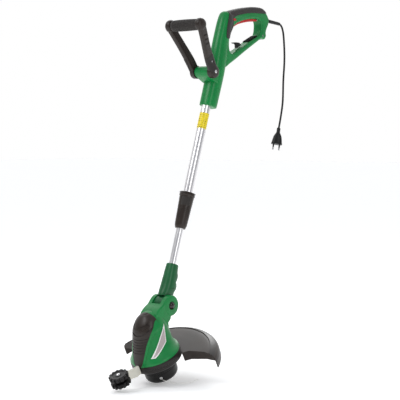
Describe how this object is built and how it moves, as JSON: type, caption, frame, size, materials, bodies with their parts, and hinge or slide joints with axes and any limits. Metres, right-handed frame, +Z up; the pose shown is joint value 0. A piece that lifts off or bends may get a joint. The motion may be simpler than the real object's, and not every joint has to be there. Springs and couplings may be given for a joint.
{
  "type": "string trimmer",
  "caption": "Corded electric string trimmer: telescopic aluminium shaft, loop handle with trigger, swinging front handle, tilting head with guard, line spool and guide wheel.",
  "frame": {"origin": "centre of the rear hand grip, where a hand or a wall hook holds the trimmer", "axes": "+Z up, -Y towards the cutting head, +Y towards the user, +X the tool's left side"},
  "size_m": [0.3551, 0.8018, 1.1051],
  "materials": {
    "green_shell": "moulded, glossy",
    "dark_green_shell": "moulded, semi-gloss",
    "charcoal_plastic": "moulded, satin",
    "black_plastic": "moulded, satin",
    "grip_rubber": "overmoulded, matt",
    "cord_pvc": "soft PVC, satin",
    "red_plastic": "moulded, glossy",
    "cream_plastic": "moulded, satin",
    "silver_trim": "silver-grey, satin",
    "label_film": "printed film, blank",
    "aluminium_tube": "drawn and polished",
    "zinc_steel": "zinc plated",
    "copper_wound_steel": "enamelled windings on a steel core",
    "clear_nylon": "translucent extruded line"
  },
  "bodies": {
    "main_handle": {"handle_shell_left": "green_shell", "handle_shell_right": "green_shell", "handle_screw_corner": "zinc_steel", "handle_screw_rear": "zinc_steel", "grip_rubber": "grip_rubber", "trigger_pin": "zinc_steel", "switch_block": "black_plastic", "trigger_spring": "zinc_steel", "cord_grommet": "black_plastic", "strain_relief": "cord_pvc", "power_cord": "cord_pvc", "plug_body": "cord_pvc", "plug_pin_left": "zinc_steel", "plug_pin_right": "zinc_steel", "cable_hook": "black_plastic", "front_handle_bolt": "zinc_steel", "upper_tube": "aluminium_tube", "tube_label": "label_film", "clamp_collar": "charcoal_plastic", "clamp_collet": "black_plastic"},
    "trigger": {"trigger": "red_plastic"},
    "lock_off_button": {"lock_off_button": "red_plastic"},
    "front_handle": {"front_arm_left": "charcoal_plastic", "front_arm_right": "charcoal_plastic", "front_arm_screw_left": "zinc_steel", "front_arm_screw_right": "zinc_steel", "front_grip": "grip_rubber"},
    "clamp_nut": {"clamp_nut": "charcoal_plastic"},
    "telescope": {"guide_bush": "cream_plastic"},
    "lower_shaft": {"lower_tube": "aluminium_tube", "socket_left": "dark_green_shell", "socket_right": "dark_green_shell", "socket_screw": "zinc_steel"},
    "head": {"motor_housing_left": "green_shell", "motor_housing_right": "green_shell", "front_cover": "charcoal_plastic", "side_insert_left": "silver_trim", "side_insert_right": "silver_trim", "pivot_pin": "zinc_steel", "base_skirt": "charcoal_plastic", "motor_can": "zinc_steel", "motor_bearing": "zinc_steel", "guard": "charcoal_plastic", "line_cutter": "zinc_steel", "wheel_arm": "cream_plastic"},
    "tilt_button": {"tilt_button": "black_plastic"},
    "spool": {"motor_shaft": "zinc_steel", "rotor_core": "copper_wound_steel", "cooling_fan": "black_plastic", "spool_carrier": "black_plastic", "spool_housing": "black_plastic", "line_reel": "cream_plastic", "line_winding": "clear_nylon", "line_eyelet_1": "zinc_steel", "line_eyelet_2": "zinc_steel", "cutting_line": "clear_nylon"},
    "tap_button": {"tap_button": "charcoal_plastic", "tap_spring": "zinc_steel"},
    "guide_wheel": {"guide_wheel": "black_plastic", "wheel_axle": "zinc_steel"}
  },
  "joints": [
    {"name": "trigger_pull", "type": "hinge", "parent": "main_handle", "child": "trigger", "pos_m": [0, 0.041, -0.0096], "axis": [-1, 0, 0], "range_deg": [0, 3.5], "stiffness_Nm_per_rad": 3, "springref_deg": -1.15, "deforming": ["trigger_spring"]},
    {"name": "lock_off_press", "type": "slide", "parent": "main_handle", "child": "lock_off_button", "axis": [-1, 0, 0], "range_m": [0, 0.0025], "stiffness_N_per_m": 300, "springref_m": -0.001},
    {"name": "front_handle_swing", "type": "hinge", "parent": "main_handle", "child": "front_handle", "pos_m": [0, -0.20002, -0.17941], "axis": [1, 0, 0], "range_deg": [-35, 40]},
    {"name": "clamp_twist", "type": "hinge", "parent": "main_handle", "child": "clamp_nut", "pos_m": [0, -0.30126, -0.61049], "axis": [0, 0.3156, 0.9489], "range_deg": [0, 90]},
    {"name": "telescope_slide", "type": "slide", "parent": "main_handle", "child": "telescope", "axis": [0, -0.3156, -0.9489], "range_m": [-0.095, 0.12]},
    {"name": "edging_turn", "type": "hinge", "parent": "telescope", "child": "lower_shaft", "pos_m": [0, -0.28801, -0.57064], "axis": [0, 0.3156, 0.9489], "range_deg": [0, 180]},
    {"name": "head_tilt", "type": "hinge", "parent": "lower_shaft", "child": "head", "pos_m": [0, -0.3827, -0.8553], "axis": [1, 0, 0], "range_deg": [-40, 5]},
    {"name": "tilt_button_press", "type": "slide", "parent": "head", "child": "tilt_button", "axis": [-1, 0, 0], "range_m": [0, 0.004], "stiffness_N_per_m": 300, "springref_m": -0.001},
    {"name": "spool_spin", "type": "hinge", "parent": "head", "child": "spool", "pos_m": [0, -0.396, -1.0409], "axis": [0, -0.4478, 0.8942], "continuous": true},
    {"name": "tap_press", "type": "slide", "parent": "spool", "child": "tap_button", "axis": [0, -0.4478, 0.8942], "range_m": [0, 0.005], "stiffness_N_per_m": 400, "springref_m": -0.002},
    {"name": "wheel_spin", "type": "hinge", "parent": "head", "child": "guide_wheel", "pos_m": [0, -0.56684, -1.04592], "axis": [0, -0.4478, 0.8942], "continuous": true}
  ]
}
